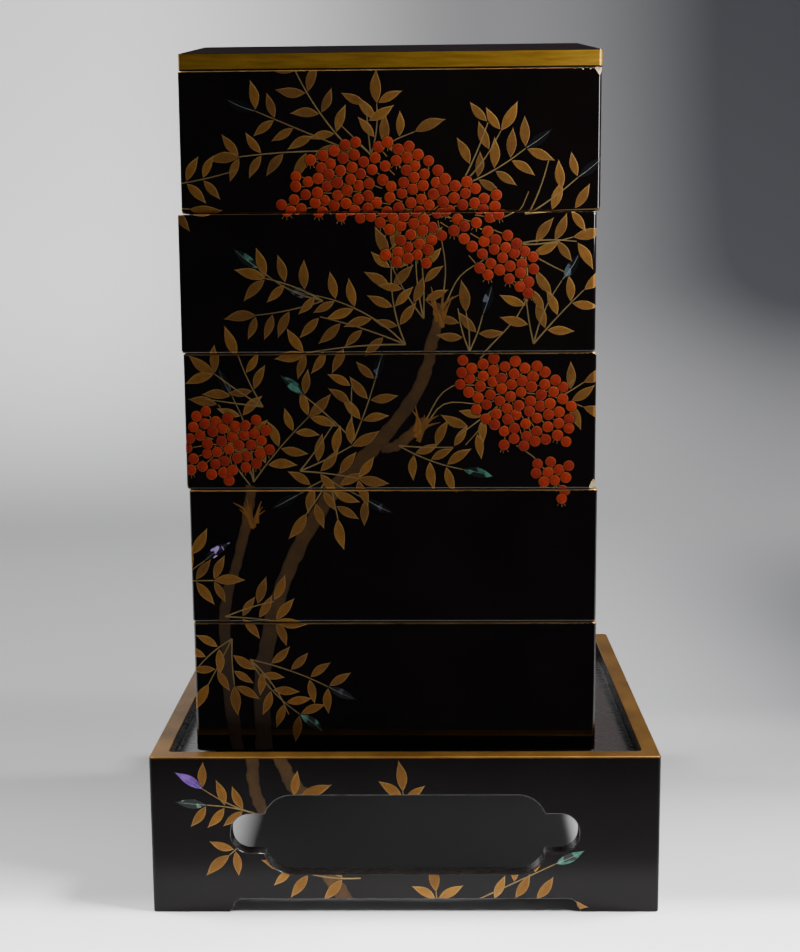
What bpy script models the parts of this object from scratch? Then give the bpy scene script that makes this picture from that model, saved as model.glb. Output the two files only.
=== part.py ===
# A tiered lacquer box: five trays and a lid, stacked on a low openwork stand.
# Metres, +Z up. The origin is on the ground, under the middle of the stand, and -Y is the front.

import math

import bmesh
import bpy
from mathutils import Matrix, Vector

# Trays. All five are alike.
TRAY_WIDTH = 0.2273
TRAY_DEPTH = 0.2121
TRAY_HEIGHT = 0.0756
TRAY_WALL = 0.0066
TRAY_FLOOR = 0.0030
TRAY_CORNER = 0.0020
TRAY_BOTTOM_ROUND = 0.0015
RIM_ROUND = 0.0007
INNER_CORNER = 0.0030

# The foot under each tray and the tongue under the lid drop inside the rim below.
FOOT_DROP = 0.0040
FOOT_CLEARANCE = 0.0025
FOOT_ROUND = 0.0008

# Lid: an upright band, a sloping border and a flat top, hollow below.
LID_BAND = 0.0089
LID_SLOPE_WIDTH = 0.0122
LID_SLOPE_RISE = 0.0046
LID_PANEL = 0.0055
TONGUE_DROP = 0.0040
TONGUE_WALL = 0.0050

# Stand: four walls around a board that is set below their top edge.
STAND_HEIGHT = 0.0910
STAND_WALL = 0.0098
STAND_BOARD = 0.0080
STAND_CORNER = 0.0020
STAND_RIM_ROUND = 0.0008
RECESS_DEPTH = 0.0095
RECESS_MARGIN = 0.0190

# Window in each wall of the stand: a round-cornered opening with an ear at each end.
WINDOW_SILL = 0.0225
WINDOW_BELOW_BOARD = 0.0049
WINDOW_CORNER = 0.0160
EAR_MARGIN = 0.0450
EAR_LENGTH = 0.0184
EAR_HEIGHT = 0.0228
EAR_RISE = 0.0007
EAR_ROUND = 0.0104

# The stand's feet: the gap between them has flared, rounded ends.
FOOT_LENGTH = 0.0430
FOOT_GAP_HEIGHT = 0.0077
FOOT_GAP_ROUND = 0.0050
FOOT_GAP_FLARE = 0.0029

# Every piece lies on the one below, with this gap between the two.
TOUCH_GAP = 0.0003

# How the pieces were put down, from the bottom tray to the lid: shift to the right, shift to
# the back, and turn in degrees.
STACK = (
    ("tier_5", -0.0046, -0.0041, -0.48),
    ("tier_4", -0.0048, -0.0047, -0.58),
    ("tier_3", -0.0056, -0.0048, -0.86),
    ("tier_2", -0.0063, -0.0054, -0.96),
    ("tier_1", -0.0046, -0.0041, -0.78),
    ("lid", -0.0040, -0.0039, -0.91),
)

# Chips in the lacquer at front right corners: tray, at its rim or its bottom edge, and how far
# the chip runs to the left, to the back and along the corner.
CHIPS = (
    ("tier_1", "rim", 0.0043, 0.0016, 0.0064),
    ("tier_3", "bottom", 0.0040, 0.0022, 0.0088),
)
CHIP_CUTTER = 0.0300

# Steps in a rounded edge, and how far a cutter runs past the face that it opens.
CORNER_STEPS = 4
EDGE_STEPS = 2
WINDOW_STEPS = 7
OVERSHOOT = 0.0050

# Where the pieces meet
STAND_WIDTH = TRAY_WIDTH + 2 * (RECESS_MARGIN + STAND_WALL)
STAND_DEPTH = TRAY_DEPTH + 2 * (RECESS_MARGIN + STAND_WALL)
BOARD_TOP = STAND_HEIGHT - RECESS_DEPTH
BOARD_UNDERSIDE = BOARD_TOP - STAND_BOARD
INNER_WIDTH = TRAY_WIDTH - 2 * TRAY_WALL
INNER_DEPTH = TRAY_DEPTH - 2 * TRAY_WALL
SEAT_WIDTH = INNER_WIDTH - 2 * FOOT_CLEARANCE
SEAT_DEPTH = INNER_DEPTH - 2 * FOOT_CLEARANCE
LID_HEIGHT = LID_BAND + LID_SLOPE_RISE

LACQUER = (0.0070, 0.0035, 0.0025)
LACQUER_ROUGHNESS = 0.12


def clear_scene():
    for obj in list(bpy.data.objects):
        bpy.data.objects.remove(obj, do_unlink=True)


def new_collection(name):
    group = bpy.data.collections.new(name)
    bpy.context.scene.collection.children.link(group)
    return group


def lacquer(name):
    material = bpy.data.materials.new(name + "_lacquer")
    material.use_nodes = True
    shader = material.node_tree.nodes["Principled BSDF"]
    shader.inputs["Base Color"].default_value = (*LACQUER, 1.0)
    shader.inputs["Roughness"].default_value = LACQUER_ROUGHNESS
    shader.inputs["Metallic"].default_value = 0.0
    return material


def box_mesh(name, size, low, round_axis=2, radius=0.0, steps=CORNER_STEPS):
    # A box standing on z = low, with the four edges that run along round_axis rounded.
    solid = bmesh.new()
    bmesh.ops.create_cube(solid, size=1.0)
    bmesh.ops.scale(solid, vec=size, verts=solid.verts)
    bmesh.ops.translate(solid, vec=(0.0, 0.0, low + size[2] / 2), verts=solid.verts)
    if radius > 0.0:
        along = [edge for edge in solid.edges if runs_along(edge, round_axis)]
        bmesh.ops.bevel(solid, geom=along, offset=radius, segments=steps, profile=0.5, affect="EDGES")
    mesh = bpy.data.meshes.new(name)
    solid.to_mesh(mesh)
    solid.free()
    return mesh


def runs_along(edge, axis):
    run = edge.verts[1].co - edge.verts[0].co
    return abs(abs(run[axis]) - run.length) < 1e-7


def round_level(mesh, level, radius, steps=EDGE_STEPS):
    # Rounds the outline of the mesh at one height.
    solid = bmesh.new()
    solid.from_mesh(mesh)
    outline = [edge for edge in solid.edges if all(abs(v.co.z - level) < 1e-7 for v in edge.verts)]
    bmesh.ops.bevel(solid, geom=outline, offset=radius, segments=steps, profile=0.5, affect="EDGES")
    solid.to_mesh(mesh)
    solid.free()


def add_part(name, mesh, parts):
    part = bpy.data.objects.new(name, mesh)
    part.data.materials.append(lacquer(name))
    parts.objects.link(part)
    return part


def add_tool(name, mesh, owner, cutters):
    tool = bpy.data.objects.new(name, mesh)
    tool.parent = owner
    tool.hide_render = True
    tool.display_type = "WIRE"
    cutters.objects.link(tool)
    return tool


def combine(part, tool, operation):
    step = part.modifiers.new(operation.lower() + " " + tool.name, "BOOLEAN")
    step.object = tool
    step.operation = operation
    step.solver = "EXACT"


def cut_box(part, label, size, low, cutters, round_axis=2, radius=0.0, steps=CORNER_STEPS):
    name = part.name + "_" + label
    mesh = box_mesh(name, size, low, round_axis, radius, steps)
    combine(part, add_tool(name, mesh, part, cutters), "DIFFERENCE")


def add_seat(part, label, low, high, cutters):
    # The block that drops inside the rim below: a tray's foot, or the lid's tongue.
    name = part.name + "_" + label
    corner = max(INNER_CORNER - FOOT_CLEARANCE, FOOT_ROUND * 1.5)
    mesh = box_mesh(name, (SEAT_WIDTH, SEAT_DEPTH, high - low), low, radius=corner)
    round_level(mesh, low, FOOT_ROUND)
    combine(part, add_tool(name, mesh, part, cutters), "UNION")


def cut_chip(part, edge_height, run_left, run_back, run_up, cutters):
    # Shaves the front right corner along the plane through three points on its edges.
    corner = Vector((TRAY_WIDTH / 2, -TRAY_DEPTH / 2, edge_height))
    ends = (Vector((-run_left, 0, 0)), Vector((0, run_back, 0)), Vector((0, 0, run_up)))
    face = (ends[1] - ends[0]).cross(ends[2] - ends[0]).normalized()
    if face.dot(ends[0]) > 0.0:
        face.negate()
    middle = corner + (ends[0] + ends[1] + ends[2]) / 3 + face * CHIP_CUTTER / 2
    mesh = box_mesh(part.name + "_chip", (CHIP_CUTTER,) * 3, -CHIP_CUTTER / 2)
    mesh.transform(Matrix.Translation(middle) @ face.to_track_quat("Z", "Y").to_matrix().to_4x4())
    combine(part, add_tool(part.name + "_chip", mesh, part, cutters), "DIFFERENCE")


def make_tray(name, parts, cutters):
    size = (TRAY_WIDTH, TRAY_DEPTH, TRAY_HEIGHT)
    mesh = box_mesh(name, size, 0.0, radius=TRAY_CORNER)
    round_level(mesh, 0.0, TRAY_BOTTOM_ROUND)
    round_level(mesh, TRAY_HEIGHT, RIM_ROUND)
    tray = add_part(name, mesh, parts)
    add_seat(tray, "foot", -FOOT_DROP, TRAY_FLOOR / 2, cutters)
    inside = (INNER_WIDTH, INNER_DEPTH, TRAY_HEIGHT - TRAY_FLOOR + OVERSHOOT)
    cut_box(tray, "inside", inside, TRAY_FLOOR, cutters, radius=INNER_CORNER)
    for tray_name, edge, run_left, run_back, run_along in CHIPS:
        if tray_name == name:
            at_rim = edge == "rim"
            height = TRAY_HEIGHT if at_rim else 0.0
            cut_chip(tray, height, run_left, run_back, -run_along if at_rim else run_along, cutters)
    return tray


def make_lid(name, parts, cutters):
    mesh = box_mesh(name, (TRAY_WIDTH, TRAY_DEPTH, LID_BAND), 0.0, radius=TRAY_CORNER)
    slope_up(mesh)
    lid = add_part(name, mesh, parts)
    add_seat(lid, "tongue", -TONGUE_DROP, LID_BAND / 2, cutters)
    hollow_width = SEAT_WIDTH - 2 * TONGUE_WALL
    hollow_depth = SEAT_DEPTH - 2 * TONGUE_WALL
    hollow_height = LID_HEIGHT - LID_PANEL + TONGUE_DROP + OVERSHOOT
    hollow = (hollow_width, hollow_depth, hollow_height)
    cut_box(lid, "hollow", hollow, -TONGUE_DROP - OVERSHOOT, cutters, radius=INNER_CORNER)
    return lid


def slope_up(mesh):
    # Raises the flat top of the lid's band on a sloping border.
    solid = bmesh.new()
    solid.from_mesh(mesh)
    top = max(solid.faces, key=lambda face: face.calc_center_median().z)
    raised = bmesh.ops.extrude_discrete_faces(solid, faces=[top])["faces"][0]
    share_x = (TRAY_WIDTH - 2 * LID_SLOPE_WIDTH) / TRAY_WIDTH
    share_y = (TRAY_DEPTH - 2 * LID_SLOPE_WIDTH) / TRAY_DEPTH
    bmesh.ops.scale(solid, vec=(share_x, share_y, 1.0), verts=raised.verts)
    bmesh.ops.translate(solid, vec=(0.0, 0.0, LID_SLOPE_RISE), verts=raised.verts)
    solid.to_mesh(mesh)
    solid.free()


def window_cutters(stand, side, axis, wall_length, reach, cutters):
    # One bar for the opening and one for its ears, each running through two opposite walls.
    sill = WINDOW_SILL
    top = BOARD_UNDERSIDE - WINDOW_BELOW_BOARD
    ear_low = (sill + top) / 2 + EAR_RISE - EAR_HEIGHT / 2
    ear_span = wall_length - 2 * EAR_MARGIN
    main_span = ear_span - 2 * EAR_LENGTH
    for label, span, low, height, radius in (
        ("window", main_span, sill, top - sill, WINDOW_CORNER),
        ("ears", ear_span, ear_low, EAR_HEIGHT, EAR_ROUND),
    ):
        size = (span, reach, height) if axis == 1 else (reach, span, height)
        cut_box(stand, side + "_" + label, size, low, cutters, axis, radius, WINDOW_STEPS)


def gap_outline(wall_length):
    # Outline of the space between two feet, seen square on: flared at the ground, round above.
    half = wall_length / 2 - FOOT_LENGTH
    inner = half - FOOT_GAP_FLARE
    centre = (inner - FOOT_GAP_ROUND, FOOT_GAP_HEIGHT - FOOT_GAP_ROUND)
    right = [(half, -OVERSHOOT), (half, 0.0)]
    for step in range(CORNER_STEPS + 1):
        turn = math.pi / 2 * step / CORNER_STEPS
        along = centre[0] + FOOT_GAP_ROUND * math.cos(turn)
        right.append((along, centre[1] + FOOT_GAP_ROUND * math.sin(turn)))
    return right + [(-along, height) for along, height in reversed(right)]


def gap_cutter(stand, side, wall_length, reach, turn, cutters):
    name = stand.name + "_" + side + "_feet"
    outline = bpy.data.curves.new(name, "CURVE")
    outline.dimensions = "2D"
    outline.fill_mode = "BOTH"
    outline.extrude = reach / 2
    points = gap_outline(wall_length)
    line = outline.splines.new("POLY")
    line.points.add(len(points) - 1)
    for point, (along, height) in zip(line.points, points):
        point.co = (along, height, 0.0, 1.0)
    line.use_cyclic_u = True
    flat = bpy.data.objects.new(name + "_outline", outline)
    bpy.context.scene.collection.objects.link(flat)
    upright = Matrix.Rotation(turn, 4, "Z") @ Matrix.Rotation(math.pi / 2, 4, "X")
    mesh = mesh_of_curve(flat)
    mesh.transform(upright)
    combine(stand, add_tool(name, mesh, stand, cutters), "DIFFERENCE")


def mesh_of_curve(flat):
    # The filled outline as a closed mesh; the curve itself is removed.
    graph = bpy.context.evaluated_depsgraph_get()
    mesh = bpy.data.meshes.new_from_object(flat.evaluated_get(graph))
    bpy.data.objects.remove(flat, do_unlink=True)
    solid = bmesh.new()
    solid.from_mesh(mesh)
    bmesh.ops.remove_doubles(solid, verts=solid.verts, dist=1e-6)
    solid.to_mesh(mesh)
    solid.free()
    return mesh


def make_stand(name, parts, cutters):
    size = (STAND_WIDTH, STAND_DEPTH, STAND_HEIGHT)
    mesh = box_mesh(name, size, 0.0, radius=STAND_CORNER)
    round_level(mesh, STAND_HEIGHT, STAND_RIM_ROUND)
    stand = add_part(name, mesh, parts)
    inner_width = STAND_WIDTH - 2 * STAND_WALL
    inner_depth = STAND_DEPTH - 2 * STAND_WALL
    recess = (inner_width, inner_depth, RECESS_DEPTH + OVERSHOOT)
    cut_box(stand, "recess", recess, BOARD_TOP, cutters, radius=INNER_CORNER)
    below = (inner_width, inner_depth, BOARD_UNDERSIDE + OVERSHOOT)
    cut_box(stand, "below", below, -OVERSHOOT, cutters, radius=INNER_CORNER)
    through_depth = STAND_DEPTH + 2 * OVERSHOOT
    through_width = STAND_WIDTH + 2 * OVERSHOOT
    window_cutters(stand, "front", 1, STAND_WIDTH, through_depth, cutters)
    window_cutters(stand, "side", 0, STAND_DEPTH, through_width, cutters)
    gap_cutter(stand, "front", STAND_WIDTH, through_depth, 0.0, cutters)
    gap_cutter(stand, "side", STAND_DEPTH, through_width, math.pi / 2, cutters)
    return stand


def main():
    clear_scene()
    parts = new_collection("tiered_lacquer_box")
    cutters = new_collection("cutters")
    make_stand("stand", parts, cutters)
    height = BOARD_TOP + TOUCH_GAP + FOOT_DROP
    for name, right, back, turn in STACK:
        make = make_lid if name == "lid" else make_tray
        piece = make(name, parts, cutters)
        piece.location = (right, back, height)
        piece.rotation_euler = (0.0, 0.0, math.radians(turn))
        height += TRAY_HEIGHT + TOUCH_GAP
    bpy.context.view_layer.update()


main()
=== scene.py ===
# A tiered lacquer box: five trays and a lid on an openwork stand, in polished black lacquer
# with a nandina in gold powder, vermilion and shell. Shapes are worked out in millimetres.
import math
import random

import bmesh
import bpy
from mathutils import Matrix, Vector
from mathutils.geometry import delaunay_2d_cdt


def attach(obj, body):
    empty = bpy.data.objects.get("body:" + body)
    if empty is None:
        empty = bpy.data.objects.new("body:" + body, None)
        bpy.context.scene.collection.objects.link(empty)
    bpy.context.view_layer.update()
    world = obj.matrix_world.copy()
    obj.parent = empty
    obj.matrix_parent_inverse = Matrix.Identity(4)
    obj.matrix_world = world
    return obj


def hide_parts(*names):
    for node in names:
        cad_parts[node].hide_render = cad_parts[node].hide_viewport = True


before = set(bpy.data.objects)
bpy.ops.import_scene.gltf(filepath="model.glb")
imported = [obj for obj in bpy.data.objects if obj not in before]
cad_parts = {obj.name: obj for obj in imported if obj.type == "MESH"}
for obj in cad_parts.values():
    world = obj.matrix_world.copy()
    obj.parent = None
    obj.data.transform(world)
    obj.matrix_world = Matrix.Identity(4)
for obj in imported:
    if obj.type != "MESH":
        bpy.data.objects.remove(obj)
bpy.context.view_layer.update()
print("frame loaded:", len(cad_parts), "pieces")

mm = 0.001
seamPlace = 115.0   # the unrolled skin's ends meet at the back, this far from its middle
cornerSteps = 8     # facets in a quarter turn of a vertical corner
snap = 3            # decimals kept of a place on the unrolled skin, in mm


# Colours and nodes

def linear(hexColour):
    # sRGB hex to the linear values that the shaders want
    parts = [int(hexColour[i:i + 2], 16) / 255 for i in (1, 3, 5)]
    return [c / 12.92 if c <= 0.04045 else ((c + 0.055) / 1.055) ** 2.4 for c in parts] + [1.0]


def perSize(size):
    # Texture scale for a pattern whose marks are this many mm across
    return 1.0 / (size * mm)


def addNode(tree, kind, settings=None, links=None):
    # Adds one node; a name is a property of the node or else one of its sockets
    node = tree.nodes.new(kind)
    for name, value in (settings or {}).items():
        if isinstance(name, str) and hasattr(node, name):
            setattr(node, name, value)
        else:
            node.inputs[name].default_value = value
    for name, source in (links or {}).items():
        tree.links.new(source, node.inputs[name])
    return node


def newFinish(name):
    material = bpy.data.materials.new(name)
    material.use_nodes = True
    tree = material.node_tree
    place = addNode(tree, "ShaderNodeTexCoord").outputs["Object"]
    return material, tree, tree.nodes["Principled BSDF"], place


def spreadRange(tree, value, start, end, low=0.0, high=1.0, kind="LINEAR"):
    # A value from start to end, spread from low to high and held there beyond them
    node = addNode(tree, "ShaderNodeMapRange", {"From Min": start, "From Max": end, "To Min": low,
                                                "To Max": high, "interpolation_type": kind},
                   {"Value": value})
    return node.outputs["Result"]


def scaleTo(tree, value, low, high):
    return spreadRange(tree, value, 0.0, 1.0, low, high)


def ramp(tree, value, start, end, low, high):
    # low at start, high at end and a soft run between them
    return spreadRange(tree, value, start, end, low, high, "SMOOTHSTEP")


def combine(tree, operation, first, second):
    return addNode(tree, "ShaderNodeMath", {"operation": operation}, {0: first, 1: second}).outputs[0]


def mixValues(tree, share, first, second):
    links = {0: share, 2: first, 3: second}
    return addNode(tree, "ShaderNodeMix", {"data_type": "FLOAT"}, links).outputs[0]


def speckle(tree, place, size, low, high, detail=2.0, roughness=0.5):
    # Noise with marks of this size in mm, stretched so that low and high become 0 and 1
    noise = addNode(tree, "ShaderNodeTexNoise", {"Scale": perSize(size), "Detail": detail,
                                                 "Roughness": roughness}, {"Vector": place})
    return spreadRange(tree, noise.outputs["Fac"], low, high)


def blendColours(tree, share, first, second):
    # share is an output; first and second are outputs or hex colours
    mix = addNode(tree, "ShaderNodeMix", {"data_type": "RGBA"}, {0: share})
    for socket, colour in ((6, first), (7, second)):
        if isinstance(colour, str):
            mix.inputs[socket].default_value = linear(colour)
        else:
            tree.links.new(colour, mix.inputs[socket])
    return mix.outputs[2]


def roughen(tree, shader, height, depth, strength=1.0):
    # depth is the real height of the marks in mm
    bump = addNode(tree, "ShaderNodeBump", {"Strength": strength, "Distance": depth * mm},
                   {"Height": height})
    tree.links.new(bump.outputs["Normal"], shader.inputs["Normal"])


def faceTone(tree):
    return addNode(tree, "ShaderNodeAttribute", {"attribute_name": "tone"}).outputs["Fac"]


# Finishes

def polishedBlackLacquer(name, gloss, smooth, handled):
    # Urushi lacquer, brushed in many coats and polished with charcoal: deep black, a clear
    # reflection with a very slow waviness, and a haze of fine wiping marks. smooth and handled are
    # the roughness of its best and its most touched places
    material, tree, shader, place = newFinish(name)
    depth = speckle(tree, place, 40.0, 0.35, 0.65)
    tree.links.new(blendColours(tree, depth, "#090506", "#0d0808"), shader.inputs["Base Color"])
    haze = speckle(tree, place, 9.0, 0.30, 0.75, 5.0, 0.62)
    tree.links.new(scaleTo(tree, haze, smooth, handled), shader.inputs["Roughness"])
    shader.inputs["IOR"].default_value = 1.52
    shader.inputs["Specular IOR Level"].default_value = gloss
    roughen(tree, shader, speckle(tree, place, 18.0, 0.0, 1.0, 0.0), 0.012, 0.30)
    return material


def plainBlackLacquer():
    # The same lacquer inside, brushed and left unpolished: softer reflections, faint brush ridges
    material, tree, shader, place = newFinish("plainBlackLacquer")
    drawn = addNode(tree, "ShaderNodeMapping", {"Scale": (0.12, 1.0, 1.0)}, {"Vector": place})
    ridges = speckle(tree, drawn.outputs["Vector"], 1.6, 0.3, 0.7, 3.0)
    tree.links.new(blendColours(tree, ridges, "#181311", "#1d1715"), shader.inputs["Base Color"])
    tree.links.new(scaleTo(tree, ridges, 0.26, 0.29), shader.inputs["Roughness"])
    shader.inputs["IOR"].default_value = 1.52
    shader.inputs["Specular IOR Level"].default_value = 0.75
    roughen(tree, shader, ridges, 0.004, 0.3)
    return material


def goldPowder(name, dull, bright, worn, metallic, grain):
    # Gold powder sprinkled on wet lacquer and burnished: a fine sparkling grain, and each leaf
    # or stroke has its own thickness of powder, so its own tone. worn is how much lacquer shows
    material, tree, shader, place = newFinish(name)
    dust = speckle(tree, place, grain, 0.32, 0.68, 2.0, 0.7)
    cloud = speckle(tree, place, 7.0, 0.30, 0.70, 3.0)
    powder = blendColours(tree, faceTone(tree), dull, bright)
    shaded = blendColours(tree, scaleTo(tree, dust, 0.0, 0.34), powder, "#241409")
    patchy = blendColours(tree, scaleTo(tree, cloud, 0.0, worn), shaded, "#1c0f08")
    tree.links.new(patchy, shader.inputs["Base Color"])
    tree.links.new(scaleTo(tree, dust, 0.46, 0.66), shader.inputs["Roughness"])
    shader.inputs["Metallic"].default_value = metallic
    roughen(tree, shader, dust, 0.030, 0.6)
    return material


def gildedEdge(name, dull, bright, smear):
    # Gold lacquer wiped along an edge: a closed, satin gold with long soft smears
    material, tree, shader, place = newFinish(name)
    drawn = addNode(tree, "ShaderNodeMapping", {"Scale": (0.10, 0.10, 1.0)}, {"Vector": place})
    smears = speckle(tree, drawn.outputs["Vector"], smear, 0.30, 0.70, 4.0)
    dust = speckle(tree, place, 0.5, 0.30, 0.70, 2.0)
    gold = blendColours(tree, smears, dull, bright)
    tree.links.new(blendColours(tree, scaleTo(tree, dust, 0.0, 0.25), gold, "#3a2410"),
                   shader.inputs["Base Color"])
    tree.links.new(scaleTo(tree, dust, 0.36, 0.54), shader.inputs["Roughness"])
    shader.inputs["Metallic"].default_value = 0.9
    roughen(tree, shader, dust, 0.015, 0.5)
    return material


def vermilionLacquer(name, dull, bright, deep):
    # Cinnabar lacquer built up for each berry: satin orange red, denser at some berries
    material, tree, shader, place = newFinish(name)
    cloud = speckle(tree, place, 2.4, 0.30, 0.70, 3.0)
    berry = blendColours(tree, faceTone(tree), dull, bright)
    tree.links.new(blendColours(tree, scaleTo(tree, cloud, 0.0, 0.45), berry, deep),
                   shader.inputs["Base Color"])
    shader.inputs["Roughness"].default_value = 0.46
    shader.inputs["Specular IOR Level"].default_value = 0.25
    roughen(tree, shader, speckle(tree, place, 0.6, 0.3, 0.7, 2.0), 0.02, 0.5)
    return material


def abaloneShell(name, smoke, pale, strong, share):
    # Thin shell laid into the lacquer and polished flush: crackled into small plates, smoky at most
    # angles. A share of the plates is painted bright: partly the shell's own paler colour and partly a
    # painted glint where a plate catches the light. share is how many plates do
    material, tree, shader, place = newFinish(name)
    plates = addNode(tree, "ShaderNodeTexVoronoi", {"Scale": perSize(3.4), "Randomness": 1.0},
                     {"Vector": place})
    sheen = speckle(tree, place, 3.0, 0.25, 0.75, 2.0)
    flash = blendColours(tree, sheen, pale, strong)
    plate = addNode(tree, "ShaderNodeSeparateColor", links={"Color": plates.outputs["Color"]})
    # painted glint: the chosen plates get the bright colour in the base colour itself
    spark = spreadRange(tree, plate.outputs["Red"], 1.0 - share, 1.12 - share)
    tree.links.new(blendColours(tree, spark, smoke, flash), shader.inputs["Base Color"])
    shader.inputs["Metallic"].default_value = 0.30
    shader.inputs["Roughness"].default_value = 0.30
    return material


def bareWood():
    # Cypress core and clay ground showing where the lacquer has chipped: pale, dry, ragged
    material, tree, shader, place = newFinish("bareWood")
    drawn = addNode(tree, "ShaderNodeMapping", {"Scale": (1.0, 1.0, 0.2)}, {"Vector": place})
    grain = speckle(tree, drawn.outputs["Vector"], 0.7, 0.3, 0.7, 3.0)
    tree.links.new(blendColours(tree, grain, "#8d7450", "#d9c79c"), shader.inputs["Base Color"])
    shader.inputs["Roughness"].default_value = 0.85
    roughen(tree, shader, grain, 0.15)
    return material


finishes = {
    "lacquer": polishedBlackLacquer("polishedBlackLacquer", 0.50, 0.055, 0.13),
    "standLacquer": polishedBlackLacquer("handledBlackLacquer", 0.14, 0.22, 0.25),
    "inside": plainBlackLacquer(),
    "leafGold": goldPowder("leafGoldPowder", "#755025", "#a8742f", 0.30, 0.75, 0.45),
    "stemGold": goldPowder("stemGoldPowder", "#7a6540", "#a28a58", 0.25, 0.70, 0.40),
    "lineGold": goldPowder("lineGoldPowder", "#8e6a3a", "#b48d50", 0.15, 0.75, 0.40),
    "vein": goldPowder("veinGoldPowder", "#5d3a17", "#7a4f20", 0.35, 0.40, 0.40),
    "bark": goldPowder("barkGoldPowder", "#191109", "#674618", 0.45, 0.45, 0.70),
    "rimGold": gildedEdge("rimGoldLacquer", "#8a6636", "#b48e56", 1.0),
    "bandGold": gildedEdge("bandGoldLacquer", "#a07822", "#c89a34", 2.2),
    "standGold": gildedEdge("standGoldLacquer", "#654619", "#85602a", 2.2),
    "berry": vermilionLacquer("vermilionLacquer", "#771b0d", "#982b12", "#510f07"),
    "berryEdge": vermilionLacquer("vermilionEdge", "#7f3615", "#964a1b", "#5a220b"),
    "shell": abaloneShell("smokyShell", "#0c0f13", "#4d6666", "#6f6a86", 0.10),
    "greenShell": abaloneShell("greenShell", "#4c9a82", "#7fd8b8", "#3f9c8c", 0.80),
    "glintShell": abaloneShell("glintShell", "#0f1717", "#4fae92", "#2a5f55", 0.16),
    "tealShell": abaloneShell("tealShell", "#131f1d", "#4f8f7a", "#224b44", 0.34),
    "violetShell": abaloneShell("violetShell", "#5c3690", "#9a66c6", "#7848b4", 0.80),
    "paleShell": abaloneShell("paleShell", "#202a27", "#7d9a8a", "#4f7467", 0.30),
    "pinkShell": abaloneShell("pinkShell", "#101118", "#f0c8f0", "#8c7cf0", 0.24),
    "shellVein": goldPowder("silverPowder", "#8b8b80", "#c2c2b4", 0.20, 0.60, 0.40),
    "wood": bareWood(),
}
print("finishes made:", len(finishes))


# Taking the pieces' places from the frame

def measureNode(name):
    # Middle, turn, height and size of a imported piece, in mm; the turn is read from its front
    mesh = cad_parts[name].data
    facing = Vector((0.0, 0.0, 0.0))
    for face in mesh.polygons:
        if face.normal.y < -0.99:
            facing += face.normal * face.area
    turn = math.atan2(facing.x, -facing.y)
    square = [Matrix.Rotation(-turn, 3, "Z") @ vertex.co for vertex in mesh.vertices]
    low = Vector([min(point[i] for point in square) for i in range(3)])
    high = Vector([max(point[i] for point in square) for i in range(3)])
    middle = Matrix.Rotation(turn, 3, "Z") @ ((low + high) / 2)
    return {"x": middle.x / mm, "y": middle.y / mm, "turn": turn, "low": low.z / mm,
            "high": high.z / mm, "width": (high.x - low.x) / mm, "depth": (high.y - low.y) / mm}


# Outline and section of a piece

def makePlan(width, depth, corner, cornerReach):
    # Outline seen from above, measured round from the middle of the front. Rings inside it
    # are squeezed only over the last cornerReach mm of each wall
    a, b = width / 2, depth / 2
    quarter = math.pi * corner / 2
    side = (a - corner) + quarter + (b - corner)
    total = 4 * (a + b - 2 * corner + quarter)
    walls = [
        {"middle": 0.0, "half": a, "reach": b, "along": (1, 0), "out": (0, -1)},
        {"middle": side, "half": b, "reach": a, "along": (0, 1), "out": (1, 0)},
        {"middle": total / 2, "half": a, "reach": b, "along": (-1, 0), "out": (0, 1)},
        {"middle": -side, "half": b, "reach": a, "along": (0, -1), "out": (-1, 0)},
    ]
    seam = round(seamPlace - total / 2, snap)
    return {"round": total, "corner": corner, "cornerReach": cornerReach, "walls": walls,
            "start": seam, "end": round(seam + total, snap)}


def outlineAt(plan, s, inset, corner):
    # Place and outward direction, s mm round the outline
    total, radius = plan["round"], plan["corner"]
    for wall in plan["walls"]:
        run = (s - wall["middle"] + total / 2) % total - total / 2
        straight = wall["half"] - radius
        if abs(run) <= straight + math.pi * radius / 4 + 0.002:
            break
    side = 1.0 if run >= 0.0 else -1.0
    past = max(0.0, abs(run) - straight) / radius
    centre = wall["half"] - inset - corner
    keep = straight - plan["cornerReach"]
    u = abs(run)
    if past > 0.0:
        u = centre + corner * math.sin(past)
    elif u > keep:
        u = keep + (u - keep) * (centre - keep) / (straight - keep)
    v = wall["reach"] - inset - corner + corner * math.cos(past)
    (ax, ay), (ox, oy) = wall["along"], wall["out"]
    sine, cosine = side * math.sin(past), math.cos(past)
    return (side * u * ax + v * ox, side * u * ay + v * oy,
            (cosine * ox + sine * ax, cosine * oy + sine * ay))


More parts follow.
